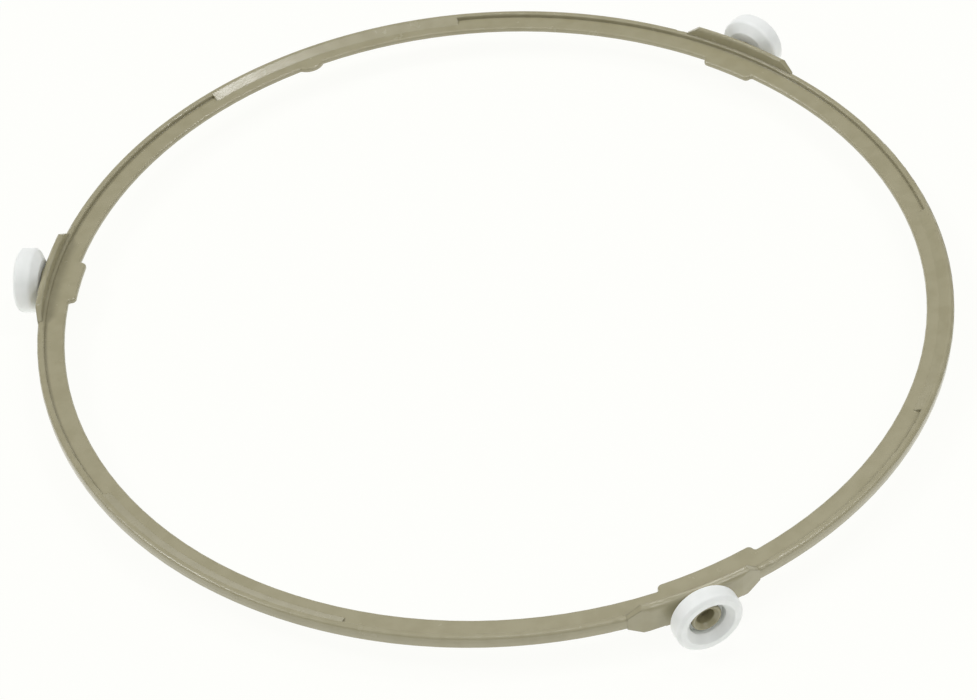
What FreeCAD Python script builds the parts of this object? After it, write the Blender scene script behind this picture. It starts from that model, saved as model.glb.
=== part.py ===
import FreeCAD, Part
import math
import os

import Sketcher
from FreeCAD import Placement, Rotation, Vector

# Turntable roller ring: one moulded carrier ring that holds three loose wheels on stub axles.
# Frame: the ring's axis is Z, the floor the wheels roll on is Z = 0, the front wheel is at -Y.

# Driving dimensions in millimetres, or degrees where the name ends in span or angle.
SIZES = {
    "ring_outer_dia": (198.0, "outside of the rim"),
    "rim_width": (1.6, "radial width of the raised rim"),
    "rim_height": (2.8, "height of the rim's outer wall"),
    "rim_above_axle": (1.25, "rim top above the axle line"),
    "rim_draft": (0.12, "how far the outer wall leans in from its parting line"),
    "step_depth": (0.95, "rim top down to the flange"),
    "flange_width": (4.25, "flange from the rim to its inner edge"),
    "flange_thick": (1.15, "thickness of the flange"),
    "ramp_crest": (1.25, "flat left on the rim where it slopes to the flange"),
    "ramp_width": (2.05, "radial width of the slope between two wheels"),
    "ramp_span": (37.4, "arc of the slope between two wheels"),
    "rim_round": (0.6, "outer top edge of the rim"),
    "step_round": (0.3, "inner top edge of the rim"),
    "flange_round": (0.5, "inner top edge of the flange"),
    "under_round": (0.3, "lower edges of rim and flange"),
    "boss_length": (29.0, "wheel boss along the rim, at its foot"),
    "boss_slope": (3.2, "run of the boss's sloped ends"),
    "boss_rise": (2.45, "boss above the rim"),
    "boss_drop": (1.6, "boss below the rim"),
    "boss_setback": (1.0, "boss wall in from the outside of the rim"),
    "boss_overhang": (0.65, "boss face out from the outside of the rim"),
    "boss_flare": (4.5, "run of the boss's outer face back to the rim at each end"),
    "brow_round": (1.25, "upper long edge of the boss's outer face"),
    "chin_round": (0.4, "lower long edge of the boss's outer face"),
    "tab_length": (12.5, "inner tab along the flange"),
    "tab_reach": (1.55, "inner tab in from the flange"),
    "tab_corner": (1.1, "rounded corners of the inner tabs"),
    "front_tab_long": (16.5, "front tab from the wheel's axle to its far end"),
    "front_tab_short": (5.3, "front tab from the wheel's axle to its near end"),
    "nub_dia": (8.0, "curve of the gate nub on the flange's inner edge"),
    "nub_reach": (1.3, "gate nub in from the flange"),
    "nub_angle": (93.7, "place of the gate nub round the ring"),
    "root_round": (0.6, "inner corners where tabs and nub leave the flange"),
    "wheel_dia": (14.4, "wheel tread"),
    "wheel_width": (5.15, "wheel over its hub and outer face"),
    "tread_width": (3.1, "flat of the tread"),
    "inner_run": (1.5, "axial length of the wheel's inner cone"),
    "hub_dia": (9.6, "hub face towards the boss"),
    "face_dia": (13.0, "outside of the wheel's outer face"),
    "lip_dia": (10.5, "mouth of the dish in the wheel"),
    "dish_depth": (1.65, "outer face down to the head's seat bore"),
    "seat_depth": (3.05, "outer face down to the floor under the head"),
    "inner_round": (1.0, "inner shoulder of the tread"),
    "outer_round": (0.55, "outer shoulder of the tread"),
    "lip_round": (0.3, "lip of the dish and edge of the hub"),
    "journal_dia": (5.0, "axle inside the wheel"),
    "journal_play": (0.05, "radial running clearance of the wheel"),
    "collar_dia": (5.8, "thrust collar between boss and wheel"),
    "collar_step": (0.15, "thrust collar out from the boss face"),
    "head_dia": (6.4, "snap head that keeps the wheel on"),
    "head_length": (0.9, "thickness of the snap head"),
    "head_lead": (0.25, "lead-in chamfer of the snap head"),
    "head_gap": (0.8, "radial gap round the snap head"),
    "core_dia": (3.8, "core hole that keeps the axle's wall thin"),
    "core_depth": (3.0, "core hole in from the end of the snap head"),
    "core_flare": (0.8, "depth of the core hole's countersunk mouth"),
    "core_rim": (0.25, "flat left round the mouth of the core hole"),
    "end_play": (0.8, "whole slide of a wheel between collar and snap head"),
    "front_slide": (0.4, "front wheel out from its collar"),
    "right_slide": (0.5, "right wheel out from its collar"),
    "left_slide": (0.15, "left wheel out from its collar"),
    "cut_margin": (3.0, "how far cutting profiles reach past the solid"),
}

# Radii and heights worked out from the driving dimensions, as expressions on the sheet.
OUTER_R = "Sizes.ring_outer_dia / 2"
STEP_R = f"{OUTER_R} - Sizes.rim_width"
INNER_R = f"{STEP_R} - Sizes.flange_width"
DRAFT_R = f"{OUTER_R} - Sizes.rim_draft"
CREST_R = f"{OUTER_R} - Sizes.ramp_crest"
FOOT_R = f"{CREST_R} - Sizes.ramp_width"
AXLE_Z = "Sizes.wheel_dia / 2"
RIM_TOP = f"{AXLE_Z} + Sizes.rim_above_axle"
RIM_BOTTOM = f"{RIM_TOP} - Sizes.rim_height"
RIM_MIDDLE = f"{RIM_TOP} - Sizes.rim_height / 2"
FLANGE_TOP = f"{RIM_TOP} - Sizes.step_depth"
FLANGE_BOTTOM = f"{FLANGE_TOP} - Sizes.flange_thick"
FLANGE_MIDDLE_R = f"({STEP_R} + {INNER_R}) / 2"
RAMP_CUT_Z = f"{RIM_TOP} + Sizes.cut_margin"
BOSS_IN_R = f"{OUTER_R} - Sizes.boss_setback"
BOSS_OUT_R = f"{OUTER_R} + Sizes.boss_overhang"
BOSS_TOP = f"{RIM_TOP} + Sizes.boss_rise"
BOSS_BOTTOM = f"{RIM_BOTTOM} - Sizes.boss_drop"
BOSS_HALF = "Sizes.boss_length / 2"
TAB_TIP_R = f"{INNER_R} - Sizes.tab_reach"
COLLAR_END = f"{BOSS_OUT_R} + Sizes.collar_step"
HEAD_START = f"{COLLAR_END} + Sizes.wheel_width - Sizes.seat_depth + Sizes.end_play"
HEAD_END = f"{HEAD_START} + Sizes.head_length"

BOSS_SPAN = f"Sizes.boss_length / ({OUTER_R}) * 180 / pi"

# Wheel stations: name, and place round the ring in degrees.
STATIONS = {"front": 270.0, "right": 30.0, "left": 150.0}

# Tab from the wheel's axle to each of its ends, first the end in the turning sense of the angles.
TAB_ENDS = {station: ("Sizes.tab_length / 2", "Sizes.tab_length / 2") for station in STATIONS}
TAB_ENDS["front"] = ("Sizes.front_tab_long", "Sizes.front_tab_short")

TOLERANCE = 1e-4

doc = FreeCAD.newDocument("roller_ring")


def make_sheet():
    """Spreadsheet of the driving dimensions, one aliased row each."""
    sheet = doc.addObject("Spreadsheet::Sheet", "Sizes")
    for row, (alias, (value, note)) in enumerate(SIZES.items(), start=1):
        sheet.set(f"A{row}", alias)
        sheet.set(f"B{row}", str(value))
        sheet.set(f"C{row}", note)
        sheet.setAlias(f"B{row}", alias)
    doc.recompute()
    return sheet


def number(expression):
    """Present value of an expression on the sheet."""
    return float(sheet.evalExpression(expression))


def make_body(label):
    body = doc.addObject("PartDesign::Body", label)
    body.Label = label
    return body


def origin(body, role):
    """One of the body's own base planes or axes."""
    return next(item for item in body.Origin.OriginFeatures if item.Role == role)


def make_sketch(body, name, plane, turn=Rotation(), height=None):
    """Sketch on a base plane, turned in place and raised by an expression along its own upright."""
    sketch = body.newObject("Sketcher::SketchObject", name)
    sketch.AttachmentSupport = [(origin(body, plane), "")]
    sketch.MapMode = "FlatFace"
    sketch.AttachmentOffset = Placement(Vector(), turn)
    if height:
        axis = "z" if plane == "XY_Plane" else "y"
        sketch.setExpression(f"AttachmentOffset.Base.{axis}", height)
    return sketch


def pin(sketch, geometry, point, kind, expression):
    """Hold one coordinate of a point at an expression, or on the axis where it is zero."""
    if expression == "0":
        axis = -2 if kind == "DistanceX" else -1
        sketch.addConstraint(Sketcher.Constraint("PointOnObject", geometry, point, axis))
        return
    index = sketch.addConstraint(
        Sketcher.Constraint(kind, -1, 1, geometry, point, number(expression))
    )
    sketch.setExpression(f"Constraints[{index}]", expression)


def outline(sketch, corners):
    """Closed outline of straight lines with each corner pinned at (across, up) expressions."""
    spots = [Vector(*(number(value) for value in corner), 0) for corner in corners]
    follow = spots[1:] + spots[:1]
    lines = [sketch.addGeometry(Part.LineSegment(*ends), False) for ends in zip(spots, follow)]
    for line, after in zip(lines, lines[1:] + lines[:1]):
        sketch.addConstraint(Sketcher.Constraint("Coincident", line, 2, after, 1))
    for line, (across, up) in zip(lines, corners):
        pin(sketch, line, 1, "DistanceX", across)
        pin(sketch, line, 1, "DistanceY", up)


def facing(station):
    """Turn that points a sketch on the YZ plane outward through a wheel station."""
    return Rotation(Vector(0, 1, 0), STATIONS[station] - 90)


def turn_profile(body, kind, name, sketch, axis, span=None, back_span=None):
    """Revolution or Groove about a sketch axis: whole, a span about the sketch, or a span each way."""
    before = body.Tip.Shape.Volume if body.Tip else 0.0
    feature = body.newObject(f"PartDesign::{kind}", name)
    feature.Profile = sketch
    feature.ReferenceAxis = (sketch, [axis])
    feature.Angle = 360
    if span:
        feature.Midplane = not back_span
        feature.setExpression("Angle", span)
    if back_span:
        feature.Type = "TwoAngles"
        feature.setExpression("Angle2", back_span)
    doc.recompute()
    change = feature.Shape.Volume - before
    if (change > 0) != (kind == "Revolution"):
        raise RuntimeError(f"{name} changes the volume by {change:.4f}")
    return feature


def repeat(body, name, features):
    """Repeat features at the three wheel stations."""
    pattern = body.newObject("PartDesign::PolarPattern", name)
    pattern.Originals = features
    pattern.Axis = (origin(body, "Z_Axis"), [""])
    pattern.Angle = 360
    pattern.Occurrences = len(STATIONS)
    body.Tip = pattern
    doc.recompute()
    return pattern


def edges_where(feature, test):
    """Names of the feature's edges that pass a test."""
    return [f"Edge{n}" for n, edge in enumerate(feature.Shape.Edges, start=1) if test(edge)]


def dress(body, kind, name, edges, size):
    """Fillet or Chamfer the named edges of the body's tip."""
    base = body.Tip
    if not edges:
        raise RuntimeError(f"{name} found no edges")
    feature = body.newObject(f"PartDesign::{kind}", name)
    feature.Base = (base, edges)
    feature.setExpression("Radius" if kind == "Fillet" else "Size", size)
    doc.recompute()
    return feature


def near(value, expression):
    return abs(value - number(expression)) < TOLERANCE


def circle_at(axis, radius, along):
    """Test for a whole circle about the axis, of a radius and at a place along it."""

    def test(edge):
        if not isinstance(edge.Curve, Part.Circle):
            return False
        centre = edge.Curve.Center
        off_axis = (centre - axis * centre.dot(axis)).Length
        return off_axis < TOLERANCE and near(edge.Curve.Radius, radius) and near(centre.dot(axis), along)

    return test


def any_of(*tests):
    return lambda edge: any(test(edge) for test in tests)


def reach(point):
    """Distance of a point from the ring's axis."""
    return math.hypot(point.x, point.y)


def corners_at(feature, radius):
    """Names of the upright edges between two walls at a distance from the ring's axis."""

    def test(edge):
        spots = [vertex.Point for vertex in edge.Vertexes]
        upright = len(spots) == 2 and (spots[0] - spots[1]).cross(Vector(0, 0, 1)).Length < TOLERANCE
        walls = feature.Shape.ancestorsOfType(edge, Part.Face)
        return upright and len(walls) == 2 and near(reach(spots[0]), radius)

    return edges_where(feature, test)


def inner_outline(height):
    """Test for an edge of the flange's inner outline, tabs and nub included, at a height."""

    def test(edge):
        spots = [vertex.Point for vertex in edge.Vertexes]
        level = all(near(spot.z, height) for spot in spots)
        return level and all(reach(spot) < number(INNER_R) + number("Sizes.root_round") for spot in spots)

    return test


def add_band(body):
    """Rim and flange as one revolved section, with its moulded edges rounded."""
    sketch = make_sketch(body, "band_section", "XZ_Plane")
    outline(sketch, [
        (DRAFT_R, RIM_BOTTOM),
        (OUTER_R, RIM_MIDDLE),
        (DRAFT_R, RIM_TOP),
        (STEP_R, RIM_TOP),
        (STEP_R, FLANGE_TOP),
        (INNER_R, FLANGE_TOP),
        (INNER_R, FLANGE_BOTTOM),
        (STEP_R, FLANGE_BOTTOM),
        (STEP_R, RIM_BOTTOM),
    ])
    turn_profile(body, "Revolution", "band", sketch, "V_Axis")
    up = Vector(0, 0, 1)
    rounds = {
        "rim_edge": ([(DRAFT_R, RIM_TOP)], "Sizes.rim_round"),
        "step_edge": ([(STEP_R, RIM_TOP)], "Sizes.step_round"),
        "under_edges": ([(DRAFT_R, RIM_BOTTOM), (STEP_R, RIM_BOTTOM)], "Sizes.under_round"),
    }
    for name, (places, size) in rounds.items():
        tests = [circle_at(up, radius, height) for radius, height in places]
        dress(body, "Fillet", name, edges_where(body.Tip, any_of(*tests)), size)


def add_ramps(body):
    """Between the wheels the step gives way to a slope from the rim's crest to the flange."""
    above = make_sketch(body, "ramp_clearance", "YZ_Plane")
    outline(above, [
        (CREST_R, RIM_TOP),
        (CREST_R, RAMP_CUT_Z),
        (FOOT_R, RAMP_CUT_Z),
        (FOOT_R, FLANGE_TOP),
    ])
    cut = turn_profile(body, "Groove", "ramp_cut", above, "V_Axis", "Sizes.ramp_span")
    below = make_sketch(body, "ramp_section", "YZ_Plane")
    outline(below, [(CREST_R, RIM_TOP), (FOOT_R, FLANGE_TOP), (CREST_R, FLANGE_TOP)])
    fill = turn_profile(body, "Revolution", "ramp_fill", below, "V_Axis", "Sizes.ramp_span")
    repeat(body, "ramps", [cut, fill])


def boss_end_wedge(side, foot, end, beyond):
    """Wedge that slopes one end of the boss, from its foot on the rim to its top or bottom."""
    low = f"{side} * ({BOSS_HALF})"
    high = f"{side} * ({BOSS_HALF} - Sizes.boss_slope)"
    clear = f"{side} * ({BOSS_HALF} + Sizes.cut_margin)"
    return [(low, foot), (clear, foot), (clear, beyond), (high, beyond), (high, end)]


def boss_face_wedge(side):
    """Wedge that runs one end of the boss's outer face back to the outside of the rim."""
    low = f"{side} * ({BOSS_HALF})"
    high = f"{side} * ({BOSS_HALF} - Sizes.boss_flare)"
    clear = f"{side} * ({BOSS_HALF} + Sizes.cut_margin)"
    foot = f"-sqrt(({OUTER_R}) ^ 2 - ({BOSS_HALF}) ^ 2)"
    end = f"-sqrt(({BOSS_OUT_R}) ^ 2 - ({BOSS_HALF} - Sizes.boss_flare) ^ 2)"
    beyond = f"-({BOSS_OUT_R} + Sizes.cut_margin)"
    return [(low, foot), (clear, foot), (clear, beyond), (high, beyond), (high, end)]


def cut_wedges(body, name, plane, wedges):
    """Cut wedges, drawn on a base plane, through everything on the front wheel's side of it."""
    sketch = make_sketch(body, f"{name}_wedges", plane)
    for wedge in wedges:
        outline(sketch, wedge)
    before = body.Tip.Shape.Volume
    cut = body.newObject("PartDesign::Pocket", name)
    cut.Profile = sketch
    cut.Type = "ThroughAll"
    cut.Reversed = True
    doc.recompute()
    if cut.Shape.Volume >= before:
        raise RuntimeError(f"{name} cuts nothing")
    return cut


def add_bosses(body):
    """Curved blocks on the rim, one at each wheel, with sloped ends and a rounded outer face."""
    section = make_sketch(body, "boss_section", "YZ_Plane", facing("front"))
    outline(section, [
        (BOSS_IN_R, BOSS_BOTTOM),
        (BOSS_OUT_R, BOSS_BOTTOM),
        (BOSS_OUT_R, BOSS_TOP),
        (BOSS_IN_R, BOSS_TOP),
    ])
    block = turn_profile(body, "Revolution", "boss_block", section, "V_Axis", BOSS_SPAN)
    repeat(body, "boss_blocks", [block])
    up = Vector(0, 0, 1)
    brow = circle_at(up, BOSS_OUT_R, BOSS_TOP)
    dress(body, "Fillet", "boss_brows", edges_where(body.Tip, brow), "Sizes.brow_round")
    chin = circle_at(up, BOSS_OUT_R, BOSS_BOTTOM)
    dress(body, "Fillet", "boss_chins", edges_where(body.Tip, chin), "Sizes.chin_round")
    over = f"{BOSS_TOP} + Sizes.cut_margin"
    under = f"{BOSS_BOTTOM} - Sizes.cut_margin"
    ends = [boss_end_wedge(side, RIM_TOP, BOSS_TOP, over) for side in (-1, 1)]
    ends += [boss_end_wedge(side, RIM_BOTTOM, BOSS_BOTTOM, under) for side in (-1, 1)]
    slopes = cut_wedges(body, "boss_ends", "XZ_Plane", ends)
    flares = cut_wedges(body, "boss_flares", "XY_Plane", [boss_face_wedge(side) for side in (-1, 1)])
    repeat(body, "bosses", [slopes, flares])
    crest = circle_at(up, BOSS_IN_R, BOSS_TOP)
    dress(body, "Fillet", "boss_crests", edges_where(body.Tip, crest), "Sizes.step_round")


def add_tabs(body):
    """Tabs on the flange's inner edge below each boss; the front one runs on to one side."""
    corners = [
        (TAB_TIP_R, FLANGE_BOTTOM),
        (FLANGE_MIDDLE_R, FLANGE_BOTTOM),
        (FLANGE_MIDDLE_R, FLANGE_TOP),
        (TAB_TIP_R, FLANGE_TOP),
    ]
    for station, ends in TAB_ENDS.items():
        section = make_sketch(body, f"{station}_tab_section", "YZ_Plane", facing(station))
        outline(section, corners)
        spans = [f"{end} / ({INNER_R}) * 180 / pi" for end in ends]
        turn_profile(body, "Revolution", f"{station}_tab", section, "V_Axis", *spans)
    dress(body, "Fillet", "tab_corners", corners_at(body.Tip, TAB_TIP_R), "Sizes.tab_corner")


def add_nub(body):
    """Half-round nub on the flange's inner edge where the mould's gate was."""
    turn = Rotation(Vector(0, 0, 1), number("Sizes.nub_angle"))
    sketch = make_sketch(body, "nub_section", "XY_Plane", turn, FLANGE_BOTTOM)
    centre = f"{INNER_R} - Sizes.nub_reach + Sizes.nub_dia / 2"
    middle = Vector(number(centre), 0, 0)
    radius = number("Sizes.nub_dia / 2")
    half = Part.ArcOfCircle(Part.Circle(middle, Vector(0, 0, 1), radius), math.pi / 2, 3 * math.pi / 2)
    ends = (middle - Vector(0, radius, 0), middle + Vector(0, radius, 0))
    curve = sketch.addGeometry(half, False)
    chord = sketch.addGeometry(Part.LineSegment(*ends), False)
    pin(sketch, curve, 3, "DistanceX", centre)
    pin(sketch, curve, 3, "DistanceY", "0")
    sketch.addConstraint(Sketcher.Constraint("Coincident", chord, 1, curve, 2))
    sketch.addConstraint(Sketcher.Constraint("Coincident", chord, 2, curve, 1))
    sketch.addConstraint(Sketcher.Constraint("Vertical", chord))
    sketch.addConstraint(Sketcher.Constraint("PointOnObject", curve, 3, chord))
    size = sketch.addConstraint(Sketcher.Constraint("Diameter", curve, 2 * radius))
    sketch.setExpression(f"Constraints[{size}]", "Sizes.nub_dia")
    nub = body.newObject("PartDesign::Pad", "gate_nub")
    nub.Profile = sketch
    nub.setExpression("Length", "Sizes.flange_thick")
    doc.recompute()


def round_inner_edge(body):
    """Round the flange's inner outline with its tabs and nub, first its corners, then its edges."""
    dress(body, "Fillet", "roots", corners_at(body.Tip, INNER_R), "Sizes.root_round")
    rounds = {
        "inner_top": (FLANGE_TOP, "Sizes.flange_round"),
        "inner_under": (FLANGE_BOTTOM, "Sizes.under_round"),
    }
    for name, (height, size) in rounds.items():
        dress(body, "Fillet", name, edges_where(body.Tip, inner_outline(height)), size)


def add_axles(body):
    """Stub axles that point outward from the bosses: thrust collar, journal and cored snap head."""
    sketch = make_sketch(body, "axle_section", "YZ_Plane", facing("front"), AXLE_Z)
    root = f"({BOSS_IN_R} + {BOSS_OUT_R}) / 2"
    head_r = "Sizes.head_dia / 2"
    end_r = f"{head_r} - Sizes.head_lead"
    core_r = "Sizes.core_dia / 2"
    core_end = f"{HEAD_END} - Sizes.core_depth"
    outline(sketch, [
        (root, "0"),
        (root, "Sizes.collar_dia / 2"),
        (COLLAR_END, "Sizes.collar_dia / 2"),
        (COLLAR_END, "Sizes.journal_dia / 2"),
        (HEAD_START, "Sizes.journal_dia / 2"),
        (HEAD_START, head_r),
        (f"{HEAD_END} - Sizes.head_lead", head_r),
        (HEAD_END, end_r),
        (HEAD_END, f"{end_r} - Sizes.core_rim"),
        (f"{HEAD_END} - Sizes.core_flare", core_r),
        (core_end, core_r),
        (core_end, "0"),
    ])
    axle = turn_profile(body, "Revolution", "axle", sketch, "H_Axis")
    repeat(body, "axles", [axle])


def make_carrier():
    body = make_body("carrier_ring")
    add_band(body)
    add_tabs(body)
    add_nub(body)
    round_inner_edge(body)
    add_ramps(body)
    add_bosses(body)
    add_axles(body)
    return body


def make_wheel(station):
    """Wheel turned about its own X axis, which points outward from the ring."""
    name = f"wheel_{station}"
    body = make_body(name)
    sketch = make_sketch(body, f"{name}_section", "XZ_Plane")
    face = "Sizes.wheel_width / 2"
    hub = "-Sizes.wheel_width / 2"
    inner_shoulder = f"{hub} + Sizes.inner_run"
    outer_shoulder = f"{inner_shoulder} + Sizes.tread_width"
    bore_r = "Sizes.journal_dia / 2 + Sizes.journal_play"
    seat_r = "Sizes.head_dia / 2 + Sizes.head_gap"
    tread_r = "Sizes.wheel_dia / 2"
    outline(sketch, [
        (hub, bore_r),
        (hub, "Sizes.hub_dia / 2"),
        (inner_shoulder, tread_r),
        (outer_shoulder, tread_r),
        (face, "Sizes.face_dia / 2"),
        (face, "Sizes.lip_dia / 2"),
        (f"{face} - Sizes.dish_depth", seat_r),
        (f"{face} - Sizes.seat_depth", seat_r),
        (f"{face} - Sizes.seat_depth", bore_r),
    ])
    turn_profile(body, "Revolution", f"{name}_form", sketch, "H_Axis")
    along = Vector(1, 0, 0)
    shoulders = {"inner_round": inner_shoulder, "outer_round": outer_shoulder}
    for size, place in shoulders.items():
        edges = edges_where(body.Tip, circle_at(along, tread_r, place))
        dress(body, "Fillet", f"{name}_{size}", edges, f"Sizes.{size}")
    lips = [
        circle_at(along, "Sizes.hub_dia / 2", hub),
        circle_at(along, "Sizes.face_dia / 2", face),
        circle_at(along, "Sizes.lip_dia / 2", face),
    ]
    dress(body, "Fillet", f"{name}_lips", edges_where(body.Tip, any_of(*lips)), "Sizes.lip_round")
    angle = STATIONS[station]
    track = f"({COLLAR_END} + Sizes.{station}_slide + Sizes.wheel_width / 2)"
    body.Placement = Placement(Vector(), Rotation(Vector(0, 0, 1), angle))
    body.setExpression("Placement.Base.x", f"{track} * cos({angle} deg)")
    body.setExpression("Placement.Base.y", f"{track} * sin({angle} deg)")
    body.setExpression("Placement.Base.z", AXLE_Z)
    return body


def check_document():
    """Stop if any object of the document failed to compute."""
    failed = [item.Name for item in doc.Objects if {"Invalid", "Error"} & set(item.State)]
    if failed:
        raise RuntimeError(f"not computed: {failed}")


def export(bodies):
    """Write each piece's solid to its own file."""
    os.makedirs("parts", exist_ok=True)
    for body in bodies:
        shape = body.Shape
        if shape.isNull() or not shape.isValid() or len(shape.Solids) != 1:
            raise RuntimeError(f"{body.Label} is not one valid solid")
    for body in bodies:
        body.Shape.exportStep(f"parts/{body.Label}.step")
        print(f"{body.Label}: {body.Shape.Volume:.2f} mm3")


sheet = make_sheet()
pieces = [make_carrier()]
for wheel_station in STATIONS:
    pieces.append(make_wheel(wheel_station))
doc.recompute()
check_document()
export(pieces)
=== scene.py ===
import math

import bpy
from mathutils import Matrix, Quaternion, Vector

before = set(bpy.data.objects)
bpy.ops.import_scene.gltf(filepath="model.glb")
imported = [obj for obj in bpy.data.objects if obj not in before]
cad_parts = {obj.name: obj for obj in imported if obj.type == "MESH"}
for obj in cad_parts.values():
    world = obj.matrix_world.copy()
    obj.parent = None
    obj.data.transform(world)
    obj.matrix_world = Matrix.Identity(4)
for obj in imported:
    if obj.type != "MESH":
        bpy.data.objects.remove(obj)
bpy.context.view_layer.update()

bl_info = {
    "name": "Roller Ring",
    "version": (1, 0, 0),
    "blender": (4, 5, 0),
    "location": "View3D > Sidebar > Roller Ring",
    "description": "Finishes a microwave oven's roller ring and sets it on a pale studio floor",
    "category": "Object",
}

WHEELS = ("wheel_front", "wheel_right", "wheel_left")

# Clouds in the melt: octaves of noise, and the span of it that the second colour fades in over.
CLOUD_DETAIL = 3.0
CLOUD_LOW, CLOUD_HIGH = 0.35, 0.7

# Mould grain, and handling smears that are coarser than it and change the roughness.
GRAIN_DETAIL = 2.0
SMEAR_DETAIL = 4.0
SMEAR_ROUGHNESS = 0.6
SMEAR_SCALE = 0.04
SMEAR_POLISH, SMEAR_DULLING = -0.07, 0.12

SENSOR_WIDTH = 36.0
NEAREST_SEEN = 0.01


class RingFinish(bpy.types.PropertyGroup):
    """Look of the carrier ring's satin beige-grey plastic."""

    colour: bpy.props.FloatVectorProperty(
        name="Colour",
        description="Main colour of the moulding",
        subtype="COLOR",
        size=3,
        min=0.0,
        max=1.0,
        default=(0.350, 0.322, 0.207),
    )
    mottle_colour: bpy.props.FloatVectorProperty(
        name="Mottle",
        description="Colour of the faint clouds that the melt leaves in the plastic",
        subtype="COLOR",
        size=3,
        min=0.0,
        max=1.0,
        default=(0.322, 0.295, 0.184),
    )
    mottle_size: bpy.props.FloatProperty(
        name="Mottle size",
        description="Length of one cloud of colour",
        unit="LENGTH",
        default=0.004,
    )
    grain_size: bpy.props.FloatProperty(
        name="Grain size",
        description="Width of one grain of the mould's spark-eroded face",
        unit="LENGTH",
        default=0.00022,
    )
    grain_height: bpy.props.FloatProperty(
        name="Grain height",
        description="Depth of the grain",
        unit="LENGTH",
        default=0.000001,
    )
    edge_round: bpy.props.FloatProperty(
        name="Edge rounding",
        description="Radius with which the moulding's sharpest edges are shaded",
        unit="LENGTH",
        default=0.00045,
    )
    roughness: bpy.props.FloatProperty(
        name="Roughness",
        description="Roughness of a clean patch",
        subtype="FACTOR",
        min=0.0,
        max=1.0,
        default=0.22,
    )
    index: bpy.props.FloatProperty(
        name="Index",
        description="Refractive index of the beige plastic",
        min=1.0,
        default=1.6,
    )


class WheelFinish(bpy.types.PropertyGroup):
    """Look of the wheels' milky low-friction plastic."""

    colour: bpy.props.FloatVectorProperty(
        name="Colour",
        description="Main colour of the wheels",
        subtype="COLOR",
        size=3,
        min=0.0,
        max=1.0,
        default=(0.835, 0.85, 0.835),
    )
    mottle_colour: bpy.props.FloatVectorProperty(
        name="Mottle",
        description="Colour of the faint grey clouds in the plastic",
        subtype="COLOR",
        size=3,
        min=0.0,
        max=1.0,
        default=(0.80, 0.82, 0.80),
    )
    mottle_size: bpy.props.FloatProperty(
        name="Mottle size",
        description="Length of one cloud of colour",
        unit="LENGTH",
        default=0.003,
    )
    grain_size: bpy.props.FloatProperty(
        name="Grain size",
        description="Width of one grain of the moulded face",
        unit="LENGTH",
        default=0.00018,
    )
    grain_height: bpy.props.FloatProperty(
        name="Grain height",
        description="Depth of the grain",
        unit="LENGTH",
        default=0.000003,
    )
    roughness: bpy.props.FloatProperty(
        name="Roughness",
        description="Roughness of a clean patch",
        subtype="FACTOR",
        min=0.0,
        max=1.0,
        default=0.42,
    )
    glow_depth: bpy.props.FloatProperty(
        name="Glow depth",
        description="How far light travels inside the milky plastic",
        unit="LENGTH",
        default=0.0016,
    )
    glow: bpy.props.FloatProperty(
        name="Glow",
        description="Share of the light that goes through the plastic",
        subtype="FACTOR",
        min=0.0,
        max=1.0,
        default=0.45,
    )


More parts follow.
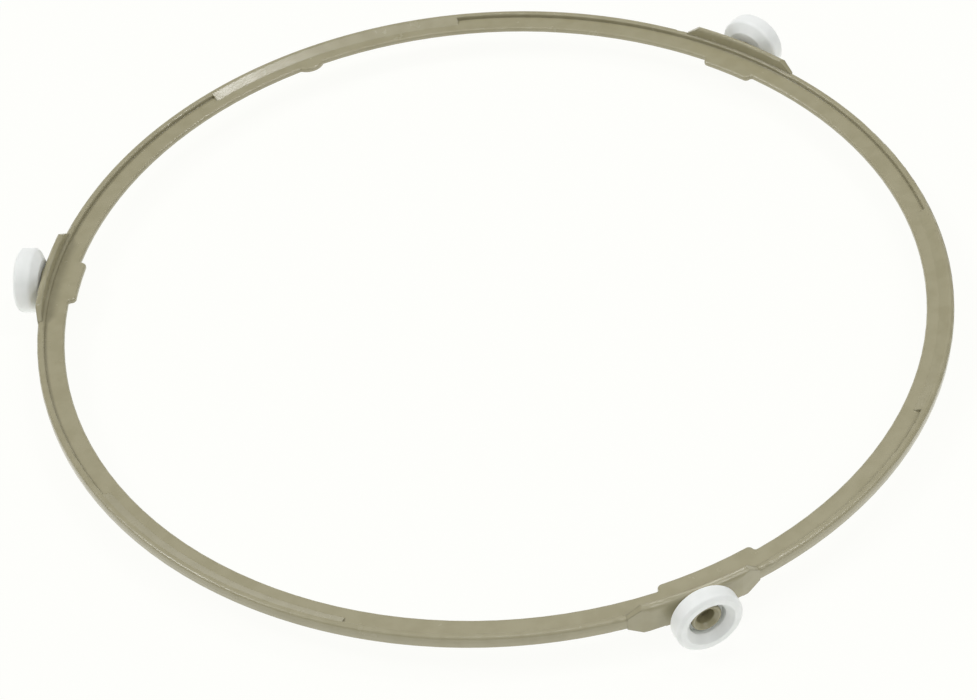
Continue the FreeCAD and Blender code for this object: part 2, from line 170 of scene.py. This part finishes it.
class StageSettings(bpy.types.PropertyGroup):
    """Floor, sky, lamps and camera."""

    floor_size: bpy.props.FloatProperty(
        name="Floor size",
        description="Side of the square floor",
        unit="LENGTH",
        default=6.0,
    )
    floor_colour: bpy.props.FloatVectorProperty(
        name="Floor colour",
        description="Colour of the pale floor",
        subtype="COLOR",
        size=3,
        min=0.0,
        max=1.0,
        default=(0.93, 0.93, 0.90),
    )
    floor_white: bpy.props.FloatVectorProperty(
        name="Floor white",
        description="Tint of the floor's own even light",
        subtype="COLOR",
        size=3,
        min=0.0,
        max=1.0,
        default=(0.995, 0.997, 0.97),
    )
    shadow_share: bpy.props.FloatProperty(
        name="Shadow share",
        description="How much of the floor's shading shows",
        subtype="FACTOR",
        min=0.0,
        max=1.0,
        default=0.05,
    )
    floor_glow: bpy.props.FloatProperty(
        name="Floor glow",
        description="Strength of the even light that the lit table gives the ring from below",
        min=0.0,
        default=1.2,
    )
    sky_high: bpy.props.FloatProperty(
        name="Sky overhead",
        description="Strength of the soft light straight overhead",
        min=0.0,
        default=0.79,
    )
    sky_low: bpy.props.FloatProperty(
        name="Sky at the horizon",
        description="Strength of the soft light from the sides",
        min=0.0,
        default=0.25,
    )
    sky_edge: bpy.props.FloatProperty(
        name="Sky edge",
        description="Angle above the floor at which the light overhead gives way to the sides",
        subtype="ANGLE",
        default=math.radians(47.0),
    )
    sky_blur: bpy.props.FloatProperty(
        name="Sky blur",
        description="Width of the passage between the light overhead and the sides",
        subtype="ANGLE",
        default=math.radians(18.0),
    )
    lamp_distance: bpy.props.FloatProperty(
        name="Lamp distance",
        description="Distance of the lamps, other than the left softbox, from the ring's middle",
        unit="LENGTH",
        default=0.9,
    )
    key_power: bpy.props.FloatProperty(
        name="Key lamp",
        description="Power of the softbox high on the right",
        unit="POWER",
        min=0.0,
        default=1.0,
    )
    key_size: bpy.props.FloatProperty(
        name="Key size",
        description="Side of the softbox high on the right",
        unit="LENGTH",
        default=0.15,
    )
    key_azimuth: bpy.props.FloatProperty(
        name="Key azimuth",
        description="Side that the high softbox stands on, counted like the camera's",
        subtype="ANGLE",
        default=math.radians(116.2),
    )
    key_elevation: bpy.props.FloatProperty(
        name="Key elevation",
        description="Height of the high softbox above the floor as an angle",
        subtype="ANGLE",
        default=math.radians(64.8),
    )
    side_power: bpy.props.FloatProperty(
        name="Side lamp",
        description="Power of the softbox on the left",
        unit="POWER",
        min=0.0,
        default=10.0,
    )
    side_size: bpy.props.FloatProperty(
        name="Side size",
        description="Side of the softbox on the left",
        unit="LENGTH",
        default=0.6,
    )
    side_distance: bpy.props.FloatProperty(
        name="Side distance",
        description="Distance of the left softbox from the ring's middle",
        unit="LENGTH",
        default=1.8,
    )
    side_azimuth: bpy.props.FloatProperty(
        name="Side azimuth",
        description="Side that the left softbox stands on, counted like the camera's",
        subtype="ANGLE",
        default=math.radians(-120.0),
    )
    side_elevation: bpy.props.FloatProperty(
        name="Side elevation",
        description="Height of the left softbox above the floor as an angle",
        subtype="ANGLE",
        default=math.radians(51.5),
    )
    fill_power: bpy.props.FloatProperty(
        name="Fill lamp",
        description="Power of the softbox on the right of the camera",
        unit="POWER",
        min=0.0,
        default=1.3,
    )
    fill_size: bpy.props.FloatProperty(
        name="Fill size",
        description="Side of the softbox on the right of the camera",
        unit="LENGTH",
        default=0.3,
    )
    fill_azimuth: bpy.props.FloatProperty(
        name="Fill azimuth",
        description="Side that the fill softbox stands on, counted like the camera's",
        subtype="ANGLE",
        default=math.radians(30.0),
    )
    fill_elevation: bpy.props.FloatProperty(
        name="Fill elevation",
        description="Height of the fill softbox above the floor as an angle",
        subtype="ANGLE",
        default=math.radians(42.0),
    )
    card_power: bpy.props.FloatProperty(
        name="Back card",
        description="Power of the low white card behind the ring",
        unit="POWER",
        min=0.0,
        default=0.65,
    )
    card_width: bpy.props.FloatProperty(
        name="Card width",
        description="Width of the white card",
        unit="LENGTH",
        default=1.0,
    )
    card_height: bpy.props.FloatProperty(
        name="Card height",
        description="Height of the white card",
        unit="LENGTH",
        default=0.3,
    )
    card_azimuth: bpy.props.FloatProperty(
        name="Card azimuth",
        description="Side that the white card stands on, counted like the camera's",
        subtype="ANGLE",
        default=math.radians(160.0),
    )
    card_elevation: bpy.props.FloatProperty(
        name="Card elevation",
        description="Height of the card's middle above the floor as an angle",
        subtype="ANGLE",
        default=math.radians(10.0),
    )
    spark_power: bpy.props.FloatProperty(
        name="Spark lamp",
        description="Power of the small bare lamp that sparks on the rounded edges",
        unit="POWER",
        min=0.0,
        default=0.3,
    )
    spark_size: bpy.props.FloatProperty(
        name="Spark size",
        description="Side of the small bare lamp",
        unit="LENGTH",
        default=0.03,
    )
    spark_azimuth: bpy.props.FloatProperty(
        name="Spark azimuth",
        description="Side that the small lamp stands on, counted like the camera's",
        subtype="ANGLE",
        default=math.radians(156.0),
    )
    spark_elevation: bpy.props.FloatProperty(
        name="Spark elevation",
        description="Height of the small lamp above the floor as an angle",
        subtype="ANGLE",
        default=math.radians(70.0),
    )
    camera_azimuth: bpy.props.FloatProperty(
        name="Camera azimuth",
        description="Side that the camera stands on; zero looks along +Y",
        subtype="ANGLE",
        default=math.radians(-20.4),
    )
    camera_elevation: bpy.props.FloatProperty(
        name="Camera elevation",
        description="Height of the camera above the floor as an angle",
        subtype="ANGLE",
        default=math.radians(43.755),
    )
    camera_roll: bpy.props.FloatProperty(
        name="Camera roll",
        description="Tilt of the camera about its own line of sight",
        subtype="ANGLE",
        default=math.radians(-4.677),
    )
    camera_distance: bpy.props.FloatProperty(
        name="Camera distance",
        description="Distance from the point that the camera looks at",
        unit="LENGTH",
        default=0.655,
    )
    camera_target: bpy.props.FloatVectorProperty(
        name="Camera target",
        description="Point in the middle of the picture",
        subtype="TRANSLATION",
        size=3,
        default=(-0.00818, -0.01640, 0.00845),
    )
    camera_lens: bpy.props.FloatProperty(
        name="Camera lens",
        description="Focal length in millimetres on a 36 mm wide sensor",
        default=113.74,
    )


def new_group(name, inputs, outputs):
    """Shader node group with named sockets, given as name: socket type."""
    tree = bpy.data.node_groups.new(name, "ShaderNodeTree")
    for socket, kind in inputs.items():
        tree.interface.new_socket(socket, in_out="INPUT", socket_type=kind)
    for socket, kind in outputs.items():
        tree.interface.new_socket(socket, in_out="OUTPUT", socket_type=kind)
    return tree, tree.nodes.new("NodeGroupInput"), tree.nodes.new("NodeGroupOutput")


def noise(tree, detail, roughness=0.5):
    """Noise texture without distortion."""
    node = tree.nodes.new("ShaderNodeTexNoise")
    node.inputs["Detail"].default_value = detail
    node.inputs["Roughness"].default_value = roughness
    return node


def ramp(tree, low, high):
    """Map Range that stretches low to high over zero to one."""
    node = tree.nodes.new("ShaderNodeMapRange")
    node.interpolation_type = "SMOOTHSTEP"
    node.inputs["From Min"].default_value = low
    node.inputs["From Max"].default_value = high
    return node


def mottle_group():
    """Faint clouds of a second colour, as a melt leaves them in a moulding."""
    tree, given, result = new_group(
        "melt_mottle",
        {
            "Vector": "NodeSocketVector",
            "Scale": "NodeSocketFloat",
            "Colour": "NodeSocketColor",
            "Mottle": "NodeSocketColor",
        },
        {"Colour": "NodeSocketColor"},
    )
    clouds = noise(tree, CLOUD_DETAIL)
    spread = ramp(tree, CLOUD_LOW, CLOUD_HIGH)
    mix = tree.nodes.new("ShaderNodeMix")
    mix.data_type = "RGBA"
    tree.links.new(given.outputs["Vector"], clouds.inputs["Vector"])
    tree.links.new(given.outputs["Scale"], clouds.inputs["Scale"])
    tree.links.new(clouds.outputs["Fac"], spread.inputs["Value"])
    tree.links.new(spread.outputs["Result"], mix.inputs["Factor"])
    tree.links.new(given.outputs["Colour"], mix.inputs["A"])
    tree.links.new(given.outputs["Mottle"], mix.inputs["B"])
    tree.links.new(mix.outputs["Result"], result.inputs["Colour"])
    return tree


def grain_group():
    """Fine mould grain as a height, and the roughness of handled plastic."""
    tree, given, result = new_group(
        "mould_grain",
        {
            "Vector": "NodeSocketVector",
            "Scale": "NodeSocketFloat",
            "Roughness": "NodeSocketFloat",
        },
        {"Height": "NodeSocketFloat", "Roughness": "NodeSocketFloat"},
    )
    grain = noise(tree, GRAIN_DETAIL)
    tree.links.new(given.outputs["Vector"], grain.inputs["Vector"])
    tree.links.new(given.outputs["Scale"], grain.inputs["Scale"])
    tree.links.new(grain.outputs["Fac"], result.inputs["Height"])
    smear_scale = tree.nodes.new("ShaderNodeMath")
    smear_scale.operation = "MULTIPLY"
    smear_scale.inputs[1].default_value = SMEAR_SCALE
    smear = noise(tree, SMEAR_DETAIL, SMEAR_ROUGHNESS)
    change = tree.nodes.new("ShaderNodeMapRange")
    change.inputs["To Min"].default_value = SMEAR_POLISH
    change.inputs["To Max"].default_value = SMEAR_DULLING
    total = tree.nodes.new("ShaderNodeMath")
    total.operation = "ADD"
    tree.links.new(given.outputs["Scale"], smear_scale.inputs[0])
    tree.links.new(given.outputs["Vector"], smear.inputs["Vector"])
    tree.links.new(smear_scale.outputs["Value"], smear.inputs["Scale"])
    tree.links.new(smear.outputs["Fac"], change.inputs["Value"])
    tree.links.new(change.outputs["Result"], total.inputs[0])
    tree.links.new(given.outputs["Roughness"], total.inputs[1])
    tree.links.new(total.outputs["Value"], result.inputs["Roughness"])
    return tree


def place_group(tree, name, maker, values):
    """Put a shared group, made once, into a material with its own values."""
    node = tree.nodes.new("ShaderNodeGroup")
    node.node_tree = bpy.data.node_groups.get(name) or maker()
    for socket, value in values.items():
        node.inputs[socket].default_value = value
    return node


def moulded_plastic(name, finish):
    """Principled material with melt mottle, mould grain and handling smears."""
    material = bpy.data.materials.new(name)
    material.use_nodes = True
    tree = material.node_tree
    shader = tree.nodes["Principled BSDF"]
    where = tree.nodes.new("ShaderNodeTexCoord").outputs["Object"]
    mottle = place_group(tree, "melt_mottle", mottle_group, {
        "Scale": 1.0 / finish.mottle_size,
        "Colour": (*finish.colour, 1.0),
        "Mottle": (*finish.mottle_colour, 1.0),
    })
    grain = place_group(tree, "mould_grain", grain_group, {
        "Scale": 1.0 / finish.grain_size,
        "Roughness": finish.roughness,
    })
    bump = tree.nodes.new("ShaderNodeBump")
    bump.inputs["Distance"].default_value = finish.grain_height
    bump.inputs["Strength"].default_value = 1.0
    for node in (mottle, grain):
        tree.links.new(where, node.inputs["Vector"])
    tree.links.new(mottle.outputs["Colour"], shader.inputs["Base Color"])
    tree.links.new(grain.outputs["Roughness"], shader.inputs["Roughness"])
    tree.links.new(grain.outputs["Height"], bump.inputs["Height"])
    tree.links.new(bump.outputs["Normal"], shader.inputs["Normal"])
    return material


def dress(node, material):
    """Give a CAD node its finished material."""
    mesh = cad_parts[node].data
    mesh.materials.clear()
    mesh.materials.append(material)


class ROLLERRING_OT_finish_ring(bpy.types.Operator):
    """Give the carrier ring its satin beige-grey plastic"""

    bl_idname = "rollerring.finish_ring"
    bl_label = "Finish ring"

    def execute(self, context):
        finish = context.scene.ring_finish
        material = moulded_plastic("satin_ring_plastic", finish)
        tree = material.node_tree
        tree.nodes["Principled BSDF"].inputs["IOR"].default_value = finish.index
        edges = tree.nodes.new("ShaderNodeBevel")
        edges.inputs["Radius"].default_value = finish.edge_round
        tree.links.new(edges.outputs["Normal"], tree.nodes["Bump"].inputs["Normal"])
        dress("carrier_ring", material)
        return {"FINISHED"}


class ROLLERRING_OT_finish_wheels(bpy.types.Operator):
    """Give the wheels their milky white plastic"""

    bl_idname = "rollerring.finish_wheels"
    bl_label = "Finish wheels"

    def execute(self, context):
        finish = context.scene.wheel_finish
        material = moulded_plastic("milky_wheel_plastic", finish)
        shader = material.node_tree.nodes["Principled BSDF"]
        shader.inputs["Subsurface Weight"].default_value = finish.glow
        shader.inputs["Subsurface Scale"].default_value = finish.glow_depth
        shader.inputs["Subsurface Radius"].default_value = (1.0, 1.0, 1.0)
        for node in WHEELS:
            dress(node, material)
        return {"FINISHED"}


def seen_from(azimuth, elevation):
    """Direction towards a viewer; azimuth zero looks along +Y."""
    level = math.cos(elevation)
    return Vector((math.sin(azimuth) * level, -math.cos(azimuth) * level, math.sin(elevation)))


def floor_material(stage):
    """White lit table: even light of its own, with a soft part of the ring's shadow left on it."""
    material = bpy.data.materials.new("pale_floor")
    material.use_nodes = True
    tree = material.node_tree
    tree.nodes.remove(tree.nodes["Principled BSDF"])
    matte = tree.nodes.new("ShaderNodeBsdfDiffuse")
    matte.inputs["Color"].default_value = (*stage.floor_colour, 1.0)
    bright = tree.nodes.new("ShaderNodeEmission")
    bright.inputs["Color"].default_value = (*stage.floor_white, 1.0)
    path = tree.nodes.new("ShaderNodeLightPath")
    strength = tree.nodes.new("ShaderNodeMapRange")
    strength.inputs["To Min"].default_value = stage.floor_glow
    strength.inputs["To Max"].default_value = 1.0
    blend = tree.nodes.new("ShaderNodeMixShader")
    blend.inputs["Fac"].default_value = 1.0 - stage.shadow_share
    tree.links.new(path.outputs["Is Camera Ray"], strength.inputs["Value"])
    tree.links.new(strength.outputs["Result"], bright.inputs["Strength"])
    tree.links.new(matte.outputs["BSDF"], blend.inputs[1])
    tree.links.new(bright.outputs["Emission"], blend.inputs[2])
    tree.links.new(blend.outputs["Shader"], tree.nodes["Material Output"].inputs["Surface"])
    return material


def make_floor(stage):
    """Square floor under the wheels, kept out of the part."""
    bpy.ops.mesh.primitive_plane_add(size=stage.floor_size)
    floor = bpy.context.object
    floor.name = "floor"
    floor.data.materials.append(floor_material(stage))


def make_sky(scene, stage):
    """Soft light that is strong overhead and weak from the sides, behind it a white background."""
    world = bpy.data.worlds.new("studio")
    scene.world = world
    world.use_nodes = True
    tree = world.node_tree
    sky = tree.nodes["Background"]
    direction = tree.nodes.new("ShaderNodeTexCoord").outputs["Generated"]
    height = tree.nodes.new("ShaderNodeSeparateXYZ")
    light = ramp(
        tree,
        math.sin(stage.sky_edge - stage.sky_blur / 2),
        math.sin(stage.sky_edge + stage.sky_blur / 2),
    )
    light.inputs["To Min"].default_value = stage.sky_low
    light.inputs["To Max"].default_value = stage.sky_high
    path = tree.nodes.new("ShaderNodeLightPath")
    strength = tree.nodes.new("ShaderNodeMix")
    strength.inputs["B"].default_value = 1.0
    tree.links.new(direction, height.inputs["Vector"])
    tree.links.new(height.outputs["Z"], light.inputs["Value"])
    tree.links.new(path.outputs["Is Camera Ray"], strength.inputs["Factor"])
    tree.links.new(light.outputs["Result"], strength.inputs["A"])
    tree.links.new(strength.outputs["Result"], sky.inputs["Strength"])
    sky.inputs["Color"].default_value = (1.0, 1.0, 1.0, 1.0)


def make_lamp(scene, name, power, width, height, direction, distance):
    """Flat lamp in a direction from the ring's middle, turned to face it."""
    data = bpy.data.lights.new(name, "AREA")
    data.shape = "RECTANGLE"
    data.size = width
    data.size_y = height
    data.energy = power
    lamp = bpy.data.objects.new(name, data)
    lamp.location = direction * distance
    lamp.rotation_mode = "QUATERNION"
    lamp.rotation_quaternion = (-direction).to_track_quat("-Z", "Y")
    scene.collection.objects.link(lamp)


def make_camera(scene, stage):
    """Camera at the photograph's viewing angle."""
    data = bpy.data.cameras.new("camera")
    data.sensor_width = SENSOR_WIDTH
    data.lens = stage.camera_lens
    data.clip_start = NEAREST_SEEN
    camera = bpy.data.objects.new("camera", data)
    back = seen_from(stage.camera_azimuth, stage.camera_elevation)
    camera.location = Vector(stage.camera_target) + back * stage.camera_distance
    camera.rotation_mode = "QUATERNION"
    level = (-back).to_track_quat("-Z", "Y")
    camera.rotation_quaternion = level @ Quaternion((0.0, 0.0, 1.0), stage.camera_roll)
    scene.collection.objects.link(camera)
    scene.camera = camera


class ROLLERRING_OT_set_stage(bpy.types.Operator):
    """Set up the pale floor, the soft studio light and the camera"""

    bl_idname = "rollerring.set_stage"
    bl_label = "Set stage"

    def execute(self, context):
        scene = context.scene
        stage = scene.roller_stage
        make_floor(stage)
        make_sky(scene, stage)
        lamps = {
            "key": (stage.key_size, stage.key_size, stage.lamp_distance),
            "side": (stage.side_size, stage.side_size, stage.side_distance),
            "fill": (stage.fill_size, stage.fill_size, stage.lamp_distance),
            "card": (stage.card_width, stage.card_height, stage.lamp_distance),
            "spark": (stage.spark_size, stage.spark_size, stage.lamp_distance),
        }
        for name, (width, height, distance) in lamps.items():
            azimuth = getattr(stage, f"{name}_azimuth")
            elevation = getattr(stage, f"{name}_elevation")
            direction = seen_from(azimuth, elevation)
            power = getattr(stage, f"{name}_power")
            make_lamp(scene, name, power, width, height, direction, distance)
        make_camera(scene, stage)
        scene.view_settings.view_transform = "Standard"
        return {"FINISHED"}


class ROLLERRING_PT_builder(bpy.types.Panel):
    """Steps that finish the roller ring"""

    bl_label = "Roller Ring"
    bl_idname = "ROLLERRING_PT_builder"
    bl_space_type = "VIEW_3D"
    bl_region_type = "UI"
    bl_category = "Roller Ring"

    def draw(self, context):
        for step in STEPS:
            self.layout.operator(step.bl_idname)


STEPS = (ROLLERRING_OT_finish_ring, ROLLERRING_OT_finish_wheels, ROLLERRING_OT_set_stage)
SETTINGS = {"ring_finish": RingFinish, "wheel_finish": WheelFinish, "roller_stage": StageSettings}


def register():
    for group in SETTINGS.values():
        bpy.utils.register_class(group)
    for name, group in SETTINGS.items():
        setattr(bpy.types.Scene, name, bpy.props.PointerProperty(type=group))
    for cls in (*STEPS, ROLLERRING_PT_builder):
        bpy.utils.register_class(cls)


def unregister():
    for cls in reversed((*STEPS, ROLLERRING_PT_builder)):
        bpy.utils.unregister_class(cls)
    for name, group in SETTINGS.items():
        delattr(bpy.types.Scene, name)
        bpy.utils.unregister_class(group)


def main():
    register()
    bpy.ops.rollerring.finish_ring()
    bpy.ops.rollerring.finish_wheels()
    bpy.ops.rollerring.set_stage()


if __name__ == "__main__":
    main()
